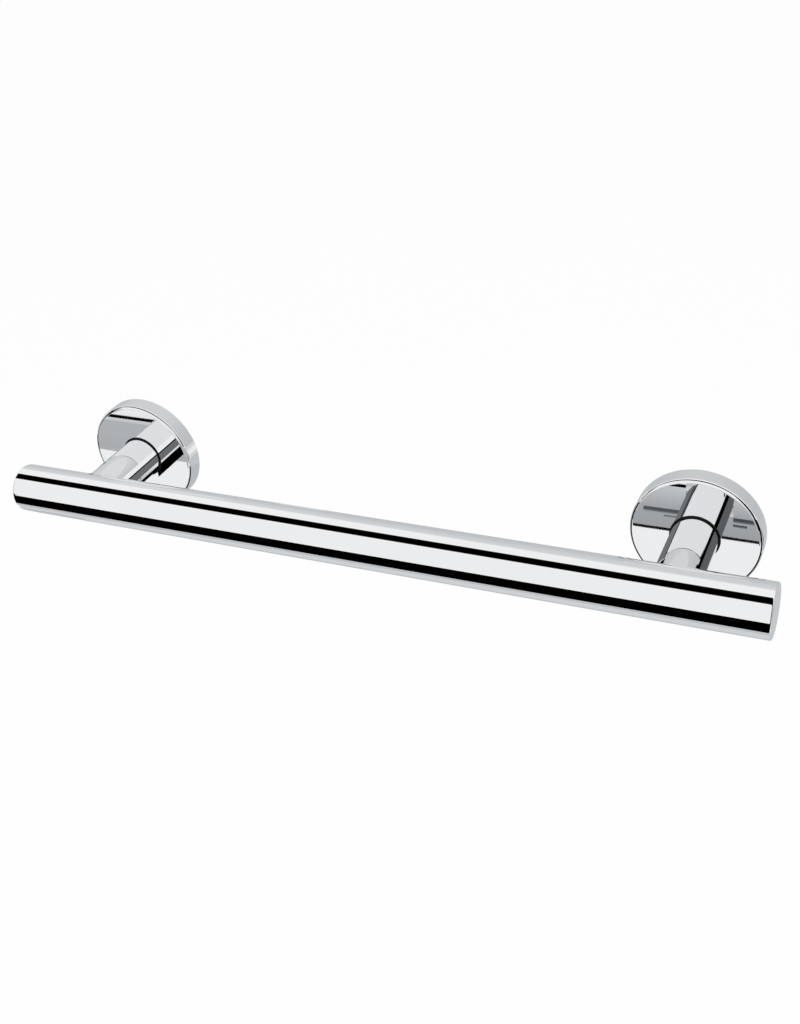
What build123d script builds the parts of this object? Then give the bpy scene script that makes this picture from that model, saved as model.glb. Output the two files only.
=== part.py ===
import os
from build123d import *

os.makedirs("parts", exist_ok=True)

# Driving dimensions in millimetres
bar_d = 32.0
bar_wall = 2.0
bar_length = 500.0
post_d = 28.0
post_wall = 2.0
post_inset = 56.0
wall_to_bar = 70.0
cover_d = 78.0
cover_depth = 12.5
cover_wall = 1.0
cover_edge = 1.2
plate_t = 4.0
screw_d = 5.5
screw_circle_d = 54.0
screw_count = 3
seal_band = 1.1
seal_grip = 0.5
seal_proud = 0.4
seal_lip = 1.0
cap_t = 2.5
cap_edge = 0.7
spigot_length = 7.0
spigot_wall = 2.0

# Clearances
spigot_clear = 0.15
plate_clear = 0.3
rim_gap = 0.3

# Sizes that follow from them
bar_r = bar_d / 2
post_r = post_d / 2
bar_in_r = bar_r - bar_wall
tube_half = bar_length / 2 - cap_t
plate_r = cover_d / 2 - cover_wall - plate_clear
seal_r = post_r + seal_band
groove_r = seal_r - seal_grip
face_y = -cover_depth
post_x = bar_length / 2 - post_inset
sides = {"left": -post_x, "right": post_x}


def wall_plane(x, y):
    # Faces away from the wall, with its origin on the post's axis
    return Plane(origin=(x, y, 0), x_dir=(1, 0, 0), z_dir=(0, -1, 0))


def end_plane(side, x):
    # Faces out of the bar's end, with its origin on the bar's axis
    return Plane(origin=(side * x, -wall_to_bar, 0), x_dir=(0, side, 0), z_dir=(side, 0, 0))


# Bar tube, from one end cap to the other
with BuildPart() as bar_tube:
    with BuildSketch(end_plane(1, -tube_half)):
        Circle(bar_r)
        Circle(bar_in_r, mode=Mode.SUBTRACT)
    extrude(amount=2 * tube_half)
bar_tube.part.label = "bar_tube"
export_step(bar_tube.part, "parts/bar_tube.step")

# End caps, each a flat disc with a broken edge and a hollow spigot inside the tube
for name, side in (("left", -1), ("right", 1)):
    with BuildPart() as end_cap:
        with BuildSketch(end_plane(side, tube_half)):
            Circle(bar_r)
        extrude(amount=cap_t)
        rim = end_cap.edges().group_by(Axis((0, -wall_to_bar, 0), (side, 0, 0)))[-1]
        chamfer(rim, length=cap_edge)
        with BuildSketch(end_plane(side, tube_half)):
            Circle(bar_in_r - spigot_clear)
            Circle(bar_in_r - spigot_clear - spigot_wall, mode=Mode.SUBTRACT)
        extrude(amount=-spigot_length)
    end_cap.part.label = "end_cap_" + name
    export_step(end_cap.part, "parts/end_cap_" + name + ".step")

# Posts, each a tube that stands on the wall plate and is cut to a saddle on the bar
for name, x in sides.items():
    with BuildPart() as post:
        with BuildSketch(wall_plane(x, -plate_t)):
            Circle(post_r)
            Circle(post_r - post_wall, mode=Mode.SUBTRACT)
        extrude(amount=wall_to_bar - plate_t)
        with BuildSketch(end_plane(1, x - bar_d)):
            Circle(bar_r)
        extrude(amount=2 * bar_d, mode=Mode.SUBTRACT)
    post.part.label = "post_" + name
    export_step(post.part, "parts/post_" + name + ".step")

# Wall plates, each a disc with a circle of screw holes
for name, x in sides.items():
    with BuildPart() as wall_plate:
        with BuildSketch(wall_plane(x, 0)):
            Circle(plate_r)
            with PolarLocations(screw_circle_d / 2, screw_count, start_angle=90):
                Circle(screw_d / 2, mode=Mode.SUBTRACT)
        extrude(amount=plate_t)
    wall_plate.part.label = "wall_plate_" + name
    export_step(wall_plate.part, "parts/wall_plate_" + name + ".step")

# Covers, each a shallow drawn shell with a broken front edge and a hole for the seal ring
for name, x in sides.items():
    with BuildPart() as cover:
        with BuildSketch(wall_plane(x, -rim_gap)):
            Circle(cover_d / 2)
        extrude(amount=cover_depth - rim_gap)
        front = cover.edges().group_by(Axis.Y)[0]
        chamfer(front, length=cover_edge)
        with BuildSketch(wall_plane(x, -rim_gap)):
            Circle(cover_d / 2 - cover_wall)
        extrude(amount=cover_depth - rim_gap - cover_wall, mode=Mode.SUBTRACT)
        with BuildSketch(wall_plane(x, -rim_gap)):
            Circle(groove_r)
        extrude(amount=cover_depth, mode=Mode.SUBTRACT)
    cover.part.label = "cover_" + name
    export_step(cover.part, "parts/cover_" + name + ".step")

# Seal rings, each a grommet whose groove holds the edge of the cover's hole
for name, x in sides.items():
    with BuildPart() as seal_ring:
        with BuildSketch(Plane.XY):
            with BuildLine():
                Polyline(
                    (x + post_r, face_y - seal_proud),
                    (x + seal_r, face_y - seal_proud),
                    (x + seal_r, face_y),
                    (x + groove_r, face_y),
                    (x + groove_r, face_y + cover_wall),
                    (x + seal_r, face_y + cover_wall),
                    (x + seal_r, face_y + cover_wall + seal_lip),
                    (x + post_r, face_y + cover_wall + seal_lip),
                    close=True,
                )
            make_face()
        revolve(axis=Axis((x, 0, 0), (0, 1, 0)))
    seal_ring.part.label = "seal_ring_" + name
    export_step(seal_ring.part, "parts/seal_ring_" + name + ".step")
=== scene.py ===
import math

import bpy
from mathutils import Matrix, Vector


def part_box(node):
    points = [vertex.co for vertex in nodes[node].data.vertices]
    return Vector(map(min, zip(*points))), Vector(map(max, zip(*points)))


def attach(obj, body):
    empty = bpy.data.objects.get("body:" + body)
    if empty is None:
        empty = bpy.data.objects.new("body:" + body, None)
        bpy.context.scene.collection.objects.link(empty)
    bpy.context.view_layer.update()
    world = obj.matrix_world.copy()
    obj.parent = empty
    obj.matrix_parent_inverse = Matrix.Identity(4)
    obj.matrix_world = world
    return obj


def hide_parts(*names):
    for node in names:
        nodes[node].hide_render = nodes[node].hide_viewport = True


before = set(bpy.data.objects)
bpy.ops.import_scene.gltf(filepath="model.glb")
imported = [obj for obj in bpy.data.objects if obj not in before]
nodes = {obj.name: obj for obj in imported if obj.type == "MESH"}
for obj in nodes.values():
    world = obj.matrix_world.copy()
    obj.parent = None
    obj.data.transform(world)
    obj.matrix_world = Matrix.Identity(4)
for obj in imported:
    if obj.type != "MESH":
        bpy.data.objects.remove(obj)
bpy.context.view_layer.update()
print("frame loaded,", len(nodes), "nodes")

# places that several pieces share, read off the frame
barLow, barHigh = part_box("bar_tube")
barMid = (barLow + barHigh) / 2
barRadius = (barHigh.z - barLow.z) / 2
postLow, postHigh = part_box("post_right")
postX = (postLow.x + postHigh.x) / 2
postRadius = (postHigh.x - postLow.x) / 2

nearFace = 1e-5  # a point this close to a face counts as on it
nearPoint = 1e-6  # and two points this close count as one


def clearSelection():
    if bpy.context.mode != "OBJECT":
        bpy.ops.object.mode_set(mode="OBJECT")
    bpy.ops.object.select_all(action="DESELECT")


def choose(piece):
    clearSelection()
    piece.select_set(True)
    bpy.context.view_layer.objects.active = piece


def bakePlace():
    bpy.ops.object.transform_apply(location=True, rotation=True, scale=True)


def settle(name):
    # names the new primitive and puts its place into its mesh
    piece = bpy.context.active_object
    piece.name = name
    piece.data.name = name
    bakePlace()
    return piece


def openWith(piece, domain, test):
    # edit mode with only the points, edges or faces that pass the test selected
    choose(piece)
    mesh = piece.data
    for group in (mesh.vertices, mesh.edges, mesh.polygons):
        group.foreach_set("select", [False] * len(group))
    if domain == "points":
        for v in mesh.vertices:
            v.select = bool(test(v.co))
    elif domain == "edges":
        passed = [bool(test(v.co)) for v in mesh.vertices]
        for e in mesh.edges:
            e.select = all(passed[i] for i in e.vertices)
            for i in e.vertices:
                mesh.vertices[i].select |= e.select
    else:
        for f in mesh.polygons:
            f.select = bool(test(f.center, f.normal))
            for i in f.vertices:
                mesh.vertices[i].select |= f.select
        for e in mesh.edges:
            e.select = all(mesh.vertices[i].select for i in e.vertices)
    kinds = ("points", "edges", "faces")
    bpy.context.tool_settings.mesh_select_mode = [domain == k for k in kinds]
    bpy.ops.object.mode_set(mode="EDIT")


def drawOut(x, y, z):
    # extrudes what is selected and moves the new part
    bpy.ops.mesh.extrude_region_move(TRANSFORM_OT_translate={"value": (x, y, z)})


def useModifier(piece, kind, **settings):
    choose(piece)
    modifier = piece.modifiers.new(kind.lower(), kind)
    for key, value in settings.items():
        setattr(modifier, key, value)
    bpy.ops.object.modifier_apply(modifier=modifier.name)


def thicken(piece, wall):
    # inwards, so that the outside keeps its size
    useModifier(piece, "SOLIDIFY", thickness=wall, offset=-1.0, use_even_offset=True)


def turnOutwards(piece):
    openWith(piece, "points", lambda p: True)
    bpy.ops.mesh.remove_doubles(threshold=nearPoint)
    bpy.ops.mesh.select_all(action="SELECT")
    bpy.ops.mesh.normals_make_consistent(inside=False)
    clearSelection()


def copyTo(piece, name):
    twin = piece.copy()
    twin.data = piece.data.copy()
    twin.name = name
    twin.data.name = name
    bpy.context.scene.collection.objects.link(twin)
    choose(twin)
    return twin


def copyToLeft(piece, name):
    # a copy at the left post of a piece that belongs to the right one
    twin = copyTo(piece, name)
    bpy.ops.transform.translate(value=(-2 * postX, 0, 0))
    bakePlace()
    return twin


def smooth(piece, degrees=35):
    # flat faces keep their own normals, so that mirrors stay flat beside a round edge
    choose(piece)
    bpy.ops.object.shade_smooth_by_angle(angle=math.radians(degrees))
    useModifier(piece, "WEIGHTED_NORMAL", keep_sharp=True, weight=100)


def hand(piece, slot, material, *replaced):
    piece.data.materials.clear()
    piece.data.materials.append(material)
    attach(piece, "root")
    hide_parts(*replaced)


class Wire:
    # one socket of a material, with the sums that shaders need
    def __init__(self, tree, socket=None):
        self.tree = tree
        self.socket = socket

    def node(self, kind, settings=None, sockets=None, out=0):
        made = self.tree.nodes.new(kind)
        for key, value in (settings or {}).items():
            if key == "stops":
                stops = made.color_ramp.elements
                while len(stops) < len(value):
                    stops.new(1.0)
                for stop, (place, colour) in zip(stops, value):
                    stop.position = place
                    stop.color = colour
            else:
                setattr(made, key, value)
        for key, value in (sockets or {}).items():
            if isinstance(value, Wire):
                self.tree.links.new(value.socket, made.inputs[key])
            else:
                made.inputs[key].default_value = value
        return Wire(self.tree, made.outputs[out] if len(made.outputs) else None)

    def sum(self, operation, first, second=0.0):
        return self.node("ShaderNodeMath", {"operation": operation}, {0: first, 1: second})

    def __add__(self, other):
        return self.sum("ADD", self, other)

    def __radd__(self, other):
        return self.sum("ADD", other, self)

    def __sub__(self, other):
        return self.sum("SUBTRACT", self, other)

    def __rsub__(self, other):
        return self.sum("SUBTRACT", other, self)

    def __mul__(self, other):
        return self.sum("MULTIPLY", self, other)

    def __rmul__(self, other):
        return self.sum("MULTIPLY", other, self)

    def __truediv__(self, other):
        return self.sum("DIVIDE", self, other)

    def __rtruediv__(self, other):
        return self.sum("DIVIDE", other, self)


def blank(name):
    material = bpy.data.materials.new(name)
    material.use_nodes = True
    material.node_tree.nodes.clear()
    return material, Wire(material.node_tree)


def grain(wire, stretch, scale, detail, rough):
    # noise on the piece's own coordinates, drawn out where the stretch is small
    place = wire.node("ShaderNodeTexCoord", out="Object")
    place = wire.node("ShaderNodeMapping", {}, {"Vector": place, "Scale": stretch})
    return wire.node("ShaderNodeTexNoise", {}, {
        "Vector": place, "Scale": scale, "Detail": detail, "Roughness": rough})


def blend(wire, share, first, second):
    # 6 and 7 are the Mix node's two colours, and 2 is the colour that comes out
    return wire.node("ShaderNodeMix", {"data_type": "RGBA"}, {
        "Factor": share, 6: first, 7: second}, out=2)


def bump(wire, height, strength, depth):
    return wire.node("ShaderNodeBump", {}, {
        "Height": height, "Strength": strength, "Distance": depth})


def emit(wire, colour):
    return wire.node("ShaderNodeEmission", {}, {"Color": colour, "Strength": 1.0})


def close(wire, shader):
    wire.node("ShaderNodeOutputMaterial", {}, {"Surface": shader})


evenly = (1, 1, 1)  # stretch of a noise that has no direction

# polished chrome, with faint lines from the polishing wheel and a soft film of wiping; each
# noise has its scale, detail and roughness
chrome = {
    "bright": (0.875, 0.88, 0.885, 1), "dull": (0.845, 0.852, 0.862, 1),
    "lines": (60.0, 3.0, 0.6), "film": (14.0, 2.0, 0.5),
    "roughLow": 0.012, "roughLines": 0.01, "roughFilm": 0.014,
    "bump": 0.012, "depth": 0.00002,
    "alongBar": (0.3, 12, 12), "alongPost": (12, 0.6, 12), "onCover": (5, 5, 1),
}


def polishedChrome(name, stretch):
    material, wire = blank(name)
    lines = grain(wire, stretch, *chrome["lines"])
    film = grain(wire, evenly, *chrome["film"])
    rough = chrome["roughLow"] + lines * chrome["roughLines"] + film * chrome["roughFilm"]
    close(wire, wire.node("ShaderNodeBsdfPrincipled", {}, {
        "Base Color": blend(wire, film, chrome["bright"], chrome["dull"]),
        "Metallic": 1.0, "Roughness": rough,
        "Normal": bump(wire, lines, chrome["bump"], chrome["depth"])}))
    return material


# plain black rubber, matt, with a moulded skin
rubber = {
    "dark": (0.004, 0.004, 0.004, 1), "worn": (0.01, 0.01, 0.011, 1),
    "skin": (900.0, 4.0, 0.65), "wear": (80.0, 2.0, 0.5),
    "rough": 0.5, "roughWear": 0.2, "shine": 0.12, "bump": 0.25, "depth": 0.0001,
}


def blackRubber(name):
    material, wire = blank(name)
    skin = grain(wire, evenly, *rubber["skin"])
    wear = grain(wire, evenly, *rubber["wear"])
    close(wire, wire.node("ShaderNodeBsdfPrincipled", {}, {
        "Base Color": blend(wire, wear, rubber["dark"], rubber["worn"]),
        "Roughness": rubber["rough"] + wear * rubber["roughWear"],
        "Specular IOR Level": rubber["shine"],
        "Normal": bump(wire, skin, rubber["bump"], rubber["depth"])}))
    return material


# rolled steel plate, brushed one way
plateSteel = {
    "light": (0.66, 0.66, 0.65, 1), "dark": (0.5, 0.5, 0.49, 1), "along": (4, 60, 220),
    "brush": (12.0, 5.0, 0.7), "brushShare": 0.7, "stain": (40.0, 3.0, 0.5), "stainShare": 0.3,
    "rough": 0.28, "roughBrush": 0.2, "bump": 0.2, "depth": 0.0001,
}


def brushedSteel(name):
    material, wire = blank(name)
    brush = grain(wire, plateSteel["along"], *plateSteel["brush"])
    stain = grain(wire, evenly, *plateSteel["stain"])
    shade = brush * plateSteel["brushShare"] + stain * plateSteel["stainShare"]
    close(wire, wire.node("ShaderNodeBsdfPrincipled", {}, {
        "Base Color": blend(wire, shade, plateSteel["light"], plateSteel["dark"]),
        "Metallic": 1.0, "Roughness": plateSteel["rough"] + brush * plateSteel["roughBrush"],
        "Normal": bump(wire, brush, plateSteel["bump"], plateSteel["depth"])}))
    return material


chromeAlongBar = polishedChrome("chromeAlongBar", chrome["alongBar"])
chromeAlongPost = polishedChrome("chromeAlongPost", chrome["alongPost"])
chromeOnCover = polishedChrome("chromeOnCover", chrome["onCover"])
sealRubber = blackRubber("sealRubber")
plateBrushed = brushedSteel("plateBrushed")
print("materials made")


# bar, a long tube that the end caps close
barTube = {"segments": 192, "wall": 0.002}


def makeBarTube():
    clearSelection()
    bpy.ops.mesh.primitive_cylinder_add(
        vertices=barTube["segments"], radius=barRadius, depth=barHigh.x - barLow.x,
        end_fill_type="NOTHING", location=barMid, rotation=(0, math.pi / 2, 0))
    piece = settle("barTube")
    turnOutwards(piece)
    thicken(piece, barTube["wall"])
    smooth(piece)
    hand(piece, "polished", chromeAlongBar, "bar_tube")
    return piece


# end caps, flat discs with a soft edge and a hollow spigot in the tube
endCap = {
    "segments": 192, "edge": 0.0011, "edgeSteps": 6, "spigotGap": 0.00015, "spigotWall": 0.002,
}


def makeEndCaps():
    low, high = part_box("end_cap_right")
    seat = barHigh.x
    clearSelection()
    bpy.ops.mesh.primitive_cylinder_add(
        vertices=endCap["segments"], radius=barRadius, depth=high.x - seat,
        location=((high.x + seat) / 2, barMid.y, 0), rotation=(0, math.pi / 2, 0))
    piece = settle("endCapRight")
    openWith(piece, "edges", lambda p: p.x > high.x - nearFace)
    bpy.ops.mesh.bevel(offset=endCap["edge"], segments=endCap["edgeSteps"], profile=0.5)
    openWith(piece, "faces", lambda c, n: c.x < seat + nearFace)
    bpy.ops.mesh.inset(thickness=barTube["wall"] + endCap["spigotGap"])
    drawOut(low.x - seat, 0, 0)
    bpy.ops.mesh.inset(thickness=endCap["spigotWall"])
    drawOut(seat - low.x, 0, 0)
    turnOutwards(piece)
    twin = copyTo(piece, "endCapLeft")
    bpy.ops.transform.rotate(value=math.pi, orient_axis="Z", center_override=(0, barMid.y, 0))
    bakePlace()
    for each, node in ((piece, "end_cap_right"), (twin, "end_cap_left")):
        smooth(each)
        hand(each, "polished", chromeAlongBar, node)


# posts, tubes whose front end is drawn onto the bar as a saddle; the start of that end is in bar
# radii from the bar's axis
post = {"segments": 160, "wall": 0.002, "start": 1.3}


def makePosts(bar):
    back, front = postHigh.y, barMid.y + barRadius * post["start"]
    clearSelection()
    bpy.ops.mesh.primitive_cylinder_add(
        vertices=post["segments"], radius=postRadius, depth=back - front, end_fill_type="NOTHING",
        location=(postX, (back + front) / 2, 0), rotation=(math.pi / 2, 0, 0))
    piece = settle("postRight")
    turnOutwards(piece)
    thicken(piece, post["wall"])
    saddle = piece.vertex_groups.new(name="saddle")
    saddle.add([v.index for v in piece.data.vertices if v.co.y < front + nearFace], 1.0, "REPLACE")
    useModifier(
        piece, "SHRINKWRAP", target=bar, wrap_method="PROJECT", use_project_y=True,
        use_negative_direction=True, use_positive_direction=False, vertex_group="saddle")
    piece.vertex_groups.clear()
    twin = copyToLeft(piece, "postLeft")
    for each, node in ((piece, "post_right"), (twin, "post_left")):
        smooth(each)
        hand(each, "polished", chromeAlongPost, node)


# covers, drawn shells with a soft front edge
cover = {"segments": 192, "wall": 0.001, "edge": 0.0023, "edgeSteps": 8}


def makeCovers():
    low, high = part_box("cover_right")
    sealLow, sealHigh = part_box("seal_ring_right")
    radius = (high.x - low.x) / 2
    hole = (sealHigh.x - sealLow.x) / 2 - seal["grip"]
    clearSelection()
    bpy.ops.mesh.primitive_circle_add(
        vertices=cover["segments"], radius=radius, fill_type="NOTHING",
        location=(postX, high.y, 0), rotation=(math.pi / 2, 0, 0))
    piece = settle("coverRight")
    openWith(piece, "edges", lambda p: True)
    drawOut(0, low.y - high.y, 0)
    drawOut(0, 0, 0)
    bpy.ops.transform.resize(value=(hole / radius, 1, hole / radius))

    def onRim(p):
        return p.y < low.y + nearFace and math.hypot(p.x - postX, p.z) > radius - nearFace

    openWith(piece, "edges", onRim)
    bpy.ops.mesh.bevel(offset=cover["edge"], segments=cover["edgeSteps"], profile=0.5)
    turnOutwards(piece)
    if min(piece.data.polygons, key=lambda f: f.center.y).normal.y > 0:
        openWith(piece, "faces", lambda c, n: True)
        bpy.ops.mesh.flip_normals()
    thicken(piece, cover["wall"])
    twin = copyToLeft(piece, "coverLeft")
    for each, node in ((piece, "cover_right"), (twin, "cover_left")):
        smooth(each)
        hand(each, "polished", chromeOnCover, node)


# seal rings, grommets that grip the edge of the cover's hole
seal = {
    "steps": 160, "grip": 0.0005, "round": 0.0003, "roundSteps": 3, "flat": 1, "smoothing": 40,
}


def makeSeals():
    low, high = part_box("seal_ring_right")
    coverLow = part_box("cover_right")[0]
    outer = (high.x - low.x) / 2
    neck = outer - seal["grip"]
    face, inside = coverLow.y, coverLow.y + cover["wall"]
    clearSelection()
    bpy.ops.mesh.primitive_plane_add(
        size=1, location=(postX + (postRadius + neck) / 2, (face + inside) / 2, 0))
    piece = settle("sealRingRight")
    openWith(piece, "points", lambda p: True)
    bpy.ops.transform.resize(value=(neck - postRadius, inside - face, 1))
    lips = ((face, low.y), (inside, high.y))
    for near, far in lips:
        openWith(piece, "edges", lambda p: abs(p.y - near) < nearPoint)
        drawOut(0, far - near, 0)
    for near, far in lips:
        between = (near + far) / 2

        def onLip(p):
            inBand = abs(p.y - between) < abs(near - far) / 2 + nearPoint
            return inBand and abs(p.x - postX - neck) < nearPoint

        openWith(piece, "edges", onLip)
        drawOut(seal["grip"], 0, 0)
    openWith(piece, "points", lambda p: True)
    bpy.ops.mesh.dissolve_limited(angle_limit=math.radians(seal["flat"]))

    def onFrontEdge(p):
        return p.y < low.y + nearPoint and p.x > postX + outer - nearPoint

    openWith(piece, "points", onFrontEdge)
    bpy.ops.mesh.bevel(
        offset=seal["round"], segments=seal["roundSteps"], affect="VERTICES", profile=0.5)
    openWith(piece, "faces", lambda c, n: True)
    bpy.ops.mesh.delete(type="ONLY_FACE")
    openWith(piece, "edges", lambda p: True)
    bpy.ops.mesh.spin(
        steps=seal["steps"], angle=2 * math.pi, center=(postX, 0, 0), axis=(0, 1, 0))
    turnOutwards(piece)
    twin = copyToLeft(piece, "sealRingLeft")
    for each, node in ((piece, "seal_ring_right"), (twin, "seal_ring_left")):
        smooth(each, seal["smoothing"])
        hand(each, "seal", sealRubber, node)


bar = makeBarTube()
makeEndCaps()
makePosts(bar)
makeCovers()
makeSeals()
for name in ("wall_plate_left", "wall_plate_right"):
    nodes[name].data.materials.clear()
    nodes[name].data.materials.append(plateBrushed)


# light tent round the bar, with a black strip above it and a grey back; only reflections see it
# bands: the angle from the front over the top, and the shade there
# slant: how many degrees the bands turn for each metre along the bar, from the middle on
# dark: black ends, each from a place along the bar, to its left or right, between two angles
tent = {
    "segments": 128, "radius": 1.0, "length": 8.0, "slant": -9.0, "middle": -0.4,
    "bands": (
        (-180, 0.6), (-170, 0.58), (-150, 0.6), (-125, 0.66), (-100, 0.74), (-88, 0.74), (-76, 0.8),
        (-66, 0.97), (-20, 0.97), (58, 0.97), (62.5, 1.05), (64.5, 0.0), (91.0, 0.0), (93.0, 1.08),
        (98, 0.98), (121, 1.0), (124, 0.95), (130, 0.74), (140, 0.72), (150, 0.685), (160, 0.64),
        (170, 0.615), (180, 0.6),
    ),
    "dark": (
        (-1.07, -1, -140, -6), (-1.5, -1, -9, 62), (-0.6, -1, -132, -52), (0.95, 1, -150, 62),
    ),
    "softAlong": 0.03, "softRound": 3.0,
}
greyTint = {"lessRed": 0.07, "moreBlue": 0.06}
plainBlack, plainWhite = (0, 0, 0, 1), (1, 1, 1, 1)


def grey(value):
    # a grey that cools as it darkens
    fade = 1 - value
    red, blue = 1 - greyTint["lessRed"] * fade, 1 + greyTint["moreBlue"] * fade
    return (value * red, value, value * blue, 1)


def onlyReflected(piece, material):
    piece.data.materials.append(material)
    piece.visible_camera = False
    piece.visible_diffuse = False
    piece.visible_shadow = False


def ramp(wire, value, start, end):
    # runs from 0 at the start to 1 at the end, and stays there
    return wire.node("ShaderNodeMapRange", {"clamp": True}, {
        "Value": value, "From Min": start, "From Max": end, "To Min": 0.0, "To Max": 1.0})


def makeTent():
    clearSelection()
    bpy.ops.mesh.primitive_cylinder_add(
        vertices=tent["segments"], radius=tent["radius"], depth=tent["length"],
        end_fill_type="NOTHING", location=(0, barMid.y, barMid.z), rotation=(0, math.pi / 2, 0))
    piece = bpy.context.active_object
    piece.name = "lightTent"
    # its place stays on the object, so that its coordinates start at the bar's axis
    bpy.ops.object.transform_apply(location=False, rotation=True, scale=True)
    material, wire = blank("tentLining")
    place = wire.node("ShaderNodeTexCoord", out="Object")
    split = wire.node("ShaderNodeSeparateXYZ", {}, {"Vector": place})
    x, y, z = (Wire(wire.tree, s) for s in split.socket.node.outputs)
    around = wire.sum("ARCTAN2", z, y * -1.0) * (180 / math.pi)
    turn = around - (x - tent["middle"]) * tent["slant"]
    stops = [((a + 180) / 360, grey(v)) for a, v in tent["bands"]]
    lining = wire.node("ShaderNodeValToRGB", {"stops": stops}, {"Fac": (turn + 180.0) / 360.0})
    dark = 0.0
    for start, side, low, high in tent["dark"]:
        beyond = ramp(wire, x, start, start + side * tent["softAlong"])
        above = ramp(wire, around, low, low + tent["softRound"])
        below = ramp(wire, around, high, high - tent["softRound"])
        dark = wire.sum("MAXIMUM", dark, beyond * (above * below))
    close(wire, emit(wire, blend(wire, dark, lining, plainBlack)))
    onlyReflected(piece, material)


# small cards close to the bar, posts and covers, each with two corners and its shade at the
# bottom and at the top
cards = {
    "stripBlack": ((-0.28, -0.1, -0.0008), (0.36, -0.1, -0.0287), 0.0, 0.0),
    "stripGreyLeft": ((-0.4, -0.1, -0.0287), (0.0, -0.149, -0.0915), 0.46, 0.54),
    "stripGreyRight": ((0.0, -0.1, -0.0287), (0.36, -0.1415, -0.0824), 0.4, 0.44),
    "stripEdgeRight": ((0.0, -0.1416, -0.085), (0.36, -0.1415, -0.0824), 0.0, 0.0),
    "trayShelfLeft": ((-0.4, -0.1005, -0.0565), (0.0, -0.143, -0.0855), 0.7, 0.56),
    "trayShelfRight": ((0.0, -0.1005, -0.0547), (0.36, -0.1415, -0.0824), 0.7, 0.56),
    "trayFront": ((-0.345, -0.12, -0.12), (0.36, -0.045, -0.12), 0.72, 0.72),
    "trayEndLeft": ((-0.345, -0.08, -0.1199), (-0.28, -0.045, -0.1199), 0.57, 0.57),
    "trayBackLeft": ((-0.345, -0.045, -0.12), (0.0, 0.13, -0.12), 0.56, 0.56),
    "trayMiddleRight": ((0.0, -0.045, -0.12), (0.36, 0.0, -0.12), 0.57, 0.57),
    "trayBackRight": ((0.0, 0.0, -0.12), (0.36, 0.13, -0.12), 0.6, 0.6),
    "glowLeft": ((-0.235, 0.001, 0.0535), (-0.14, 0.001, 0.082), 0.8, 0.8),
    "glowRight": ((0.15, 0.001, 0.0485), (0.225, 0.001, 0.061), 0.74, 0.74),
    "glintLeft": ((-0.1, 0.02, -0.021), (-0.1, 0.09, -0.006), 0.95, 0.95),
    "glintLeftSoft": ((-0.0998, 0.02, -0.032), (-0.0998, 0.09, 0.004), 0.76, 0.76),
    "sideLeftLow": ((-0.1845, -0.05, -0.0157), (-0.1845, -0.0131, -0.0105), 0.0, 0.0),
}

# upright cards close behind the bar, that only the covers see, each with its reach along the
# bar, its bottom and top, and its shade at both
behindY = -0.0535
leftSpan, middleSpan, rightSpan = (-0.275, -0.2086), (0.14, 0.1794), (0.2086, 0.238)
cardsBehind = {
    "greyLeft": (leftSpan, (-0.0095, 0.0007), 0.5, 0.51),
    "greyMiddle": (middleSpan, (-0.0091, 0.0076), 0.42, 0.63),
    "greyRight": (rightSpan, (-0.0091, 0.0076), 0.42, 0.63),
    "shineLeft": (leftSpan, (0.0007, 0.0031), 0.66, 0.69),
    "lineLeft": (leftSpan, (0.0033, 0.006), 0.0, 0.0),
    "lineMiddle": (middleSpan, (0.0078, 0.0101), 0.0, 0.0),
    "lineRight": (rightSpan, (0.0078, 0.0101), 0.0, 0.0),
    "lightLeft": (leftSpan, (0.0062, 0.0115), 0.9, 0.97),
    "lightMiddle": (middleSpan, (0.0103, 0.013), 0.97, 0.97),
    "lightRight": (rightSpan, (0.0103, 0.013), 0.97, 0.97),
    # the dark cards below show in the covers' mirror faces as dark streaks: painted reflections
    # that stand in for the other cover and the bar mirrored there
    "marksMiddle": ((0.153, 0.1794), (-0.0113, -0.0091), 0.1, 0.1),
    "marksMiddleSoft": ((0.153, 0.1794), (-0.0129, -0.0113), 0.42, 0.1),
    "marksMiddleLow": ((0.166, 0.1794), (-0.0155, -0.0139), 0.42, 0.04),
    "marksRight": ((0.2086, 0.2225), (-0.0113, -0.0091), 0.08, 0.08),
    "marksRightSoft": ((0.2086, 0.2225), (-0.0129, -0.0113), 0.42, 0.08),
    "marksRightLow": ((0.2086, 0.2172), (-0.0157, -0.0139), 0.2, 0.02),
}


def makeCard(name, low, high, bottom, top, clearInFront=False):
    clearSelection()
    low, high = Vector(low), Vector(high)
    span = high - low
    bpy.ops.mesh.primitive_plane_add(size=1, location=(low + high) / 2)
    piece = bpy.context.active_object
    if span.x == 0:
        piece.rotation_euler = (0, math.pi / 2, 0)
        piece.scale = (span.z, span.y, 1)
    else:
        piece.rotation_euler = (math.atan2(span.z, span.y), 0, 0)
        piece.scale = (span.x, math.hypot(span.y, span.z), 1)
    settle(name)
    material, wire = blank(name + "Shade")
    colour = grey(bottom)
    if top != bottom:
        place = wire.node("ShaderNodeTexCoord", out="Object")
        height = wire.node("ShaderNodeSeparateXYZ", {}, {"Vector": place}, out="Z")
        rise = ramp(wire, height, min(low.z, high.z), max(low.z, high.z))
        colour = blend(wire, rise, colour, grey(top))
    shader = emit(wire, colour)
    if clearInFront:
        # seen from the wall only, so that the bar's back doesn't mirror it
        behind = wire.node("ShaderNodeNewGeometry", out="Backfacing")
        clear = wire.node("ShaderNodeBsdfTransparent")
        shader = wire.node("ShaderNodeMixShader", {}, {0: behind, 1: clear, 2: shader})
    close(wire, shader)
    onlyReflected(piece, material)


def makeCardBehind(name, along, upright, bottom, top):
    low, high = ((x, behindY, z) for x, z in zip(along, upright))
    makeCard(name, low, high, bottom, top, clearInFront=True)


def shadeEvenly(piece, shade):
    material, wire = blank(piece.name + "Shade")
    close(wire, emit(wire, grey(shade)))
    onlyReflected(piece, material)


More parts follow.
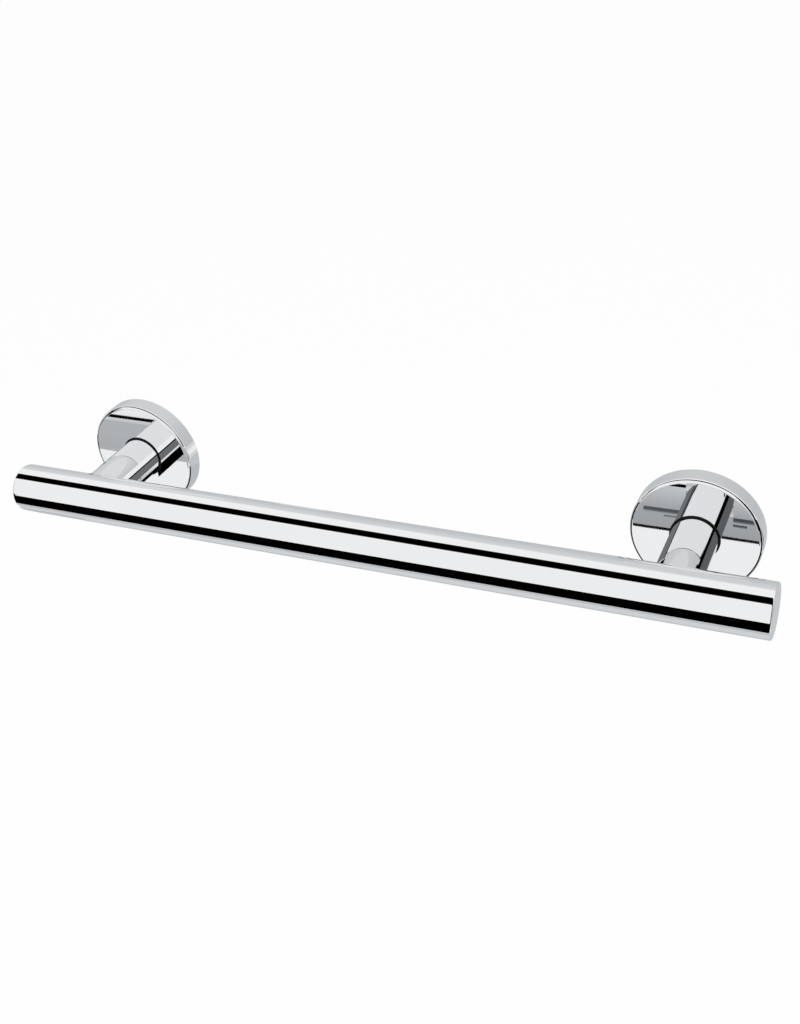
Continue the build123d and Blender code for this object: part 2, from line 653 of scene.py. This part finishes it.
# curved cards round the posts' axes, on the left (-1) or right (1), each with its reach along the
# axis, its first and last angle from the right, and its shade
# hoops draw a dark line round each cover's face, and streaks draw lines beside the mirrored posts
arc = {"segments": 360, "hoop": 0.0425, "streak": 0.0145, "streakReach": (-0.053, -0.0131)}
hoops = {
    "hoopLeftUp": (-1, (-0.0156, -0.0116), (165, 180), 0.0),
    "hoopLeftDown": (-1, (-0.0168, -0.0114), (-180, -8), 0.0),
    "hoopRightUp": (1, (-0.0176, -0.0114), (155, 180), 0.0),
    "hoopRightDown": (1, (-0.0176, -0.0114), (-180, 25), 0.0),
}
streaks = {
    "streakLeftLight": (-1, arc["streakReach"], (17, 30), 0.97),
    "streakLeftEdge": (-1, arc["streakReach"], (13, 17), 0.0),
    "streakLeft": (-1, arc["streakReach"], (-8, 13), 0.17),
    "streakLeftLow": (-1, arc["streakReach"], (-56, -22), 0.0),
    "streakRightEdge": (1, arc["streakReach"], (32, 40), 0.0),
    "streakRight": (1, arc["streakReach"], (1, 32), 0.12),
    "streakNearEdge": (1, arc["streakReach"], (126, 129), 0.0),
    "streakNear": (1, arc["streakReach"], (129, 175), 0.18),
}


def makeArc(name, radius, side, reach, turns, shade):
    clearSelection()
    bpy.ops.mesh.primitive_cylinder_add(
        vertices=arc["segments"], radius=radius, depth=reach[1] - reach[0],
        end_fill_type="NOTHING", location=(side * postX, sum(reach) / 2, 0),
        rotation=(math.pi / 2, 0, 0))
    piece = settle(name)

    def outside(c, n):
        turn = math.degrees(math.atan2(c.z, c.x - side * postX))
        return not turns[0] < turn < turns[1]

    openWith(piece, "faces", outside)
    bpy.ops.mesh.delete(type="FACE")
    clearSelection()
    shadeEvenly(piece, shade)


# grey discs close to the bar's flat ends, so that these don't mirror the black ends of the tent
disc = {
    "segments": 96, "radius": 0.0148, "off": 0.001, "shiftY": 0.0012, "shiftZ": -0.0008,
    "shadeLeft": 0.5, "shadeRight": 0.6,
}


def makeDisc(name, side, shade):
    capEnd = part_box("end_cap_right")[1].x
    clearSelection()
    bpy.ops.mesh.primitive_circle_add(
        vertices=disc["segments"], radius=disc["radius"], fill_type="NGON",
        location=(side * (capEnd + disc["off"]), barMid.y + disc["shiftY"], disc["shiftZ"]),
        rotation=(0, math.pi / 2, 0))
    shadeEvenly(settle(name), shade)


# pale floor, nearly white where it is seen, that still takes a shadow
floor = {"height": -0.8, "size": 60.0, "colour": (0.92, 0.92, 0.92, 1), "white": 0.94}


def seenDirectly(wire):
    # 1 for what is seen straight, mirrored or through glass, and 0 for the light on matt faces
    light = wire.node("ShaderNodeLightPath").socket.node
    seen = 0.0
    for ray in ("Is Camera Ray", "Is Glossy Ray", "Is Transmission Ray"):
        seen = wire.sum("MAXIMUM", seen, Wire(wire.tree, light.outputs[ray]))
    return seen


def makeFloor():
    clearSelection()
    bpy.ops.mesh.primitive_plane_add(size=floor["size"], location=(0, 0, floor["height"]))
    piece = bpy.context.active_object
    piece.name = "floor"
    material, wire = blank("paleFloor")
    matt = wire.node("ShaderNodeBsdfDiffuse", {}, {"Color": floor["colour"]})
    close(wire, wire.node("ShaderNodeMixShader", {}, {
        0: seenDirectly(wire) * floor["white"], 1: matt, 2: emit(wire, plainWhite)}))
    piece.data.materials.append(material)


# soft light: an even white surround, brighter where it is seen, and two large lamps
studio = {
    "level": 0.75, "seenLevel": 1.0, "lampPower": 14.0, "lampSize": 1.6,
    "lamps": {"lampLeft": (-1.4, -1.3, 1.7), "lampRight": (1.5, -0.6, 1.9)},
}


def makeStudio():
    world = bpy.data.worlds.new("studio")
    bpy.context.scene.world = world
    world.use_nodes = True
    world.node_tree.nodes.clear()
    wire = Wire(world.node_tree)
    soft, white = (
        wire.node("ShaderNodeBackground", {}, {"Color": plainWhite, "Strength": level})
        for level in (studio["level"], studio["seenLevel"]))
    mixed = wire.node("ShaderNodeMixShader", {}, {0: seenDirectly(wire), 1: soft, 2: white})
    wire.node("ShaderNodeOutputWorld", {}, {"Surface": mixed})
    for name, place in studio["lamps"].items():
        lamp = bpy.data.lights.new(name, "AREA")
        lamp.shape = "DISK"
        lamp.size = studio["lampSize"]
        lamp.energy = studio["lampPower"]
        holder = bpy.data.objects.new(name, lamp)
        holder.location = place
        holder.rotation_euler = (barMid - Vector(place)).to_track_quat("-Z", "Y").to_euler()
        holder.visible_glossy = False
        bpy.context.scene.collection.objects.link(holder)


# camera, placed from the bar's edges and the covers' rims in the picture
view = {
    "place": (0.318247, -0.6202, 0.412641), "lens": 43.7089, "sensor": 36.0,
    "right": (0.910127, 0.4027946, -0.0970842), "up": (-0.1398046, 0.5191235, 0.8431877),
    "nearest": 0.01, "farthest": 200.0,
}


def makeCamera():
    data = bpy.data.cameras.new("camera")
    data.lens = view["lens"]
    data.sensor_width = view["sensor"]
    data.clip_start = view["nearest"]
    data.clip_end = view["farthest"]
    holder = bpy.data.objects.new("camera", data)
    right, up = Vector(view["right"]).normalized(), Vector(view["up"]).normalized()
    turned = Matrix((right, up, right.cross(up))).transposed()
    holder.matrix_world = Matrix.Translation(view["place"]) @ turned.to_4x4()
    bpy.context.scene.collection.objects.link(holder)
    bpy.context.scene.camera = holder


makeTent()
for name, card in cards.items():
    makeCard(name, *card)
for name, card in cardsBehind.items():
    makeCardBehind(name, *card)
for name, hoop in hoops.items():
    makeArc(name, arc["hoop"], *hoop)
for name, streak in streaks.items():
    makeArc(name, arc["streak"], *streak)
makeDisc("discLeft", -1, disc["shadeLeft"])
makeDisc("discRight", 1, disc["shadeRight"])
makeFloor()
makeStudio()
makeCamera()
bpy.context.scene.view_settings.view_transform = "Standard"
print("stage and camera set")

clearSelection()
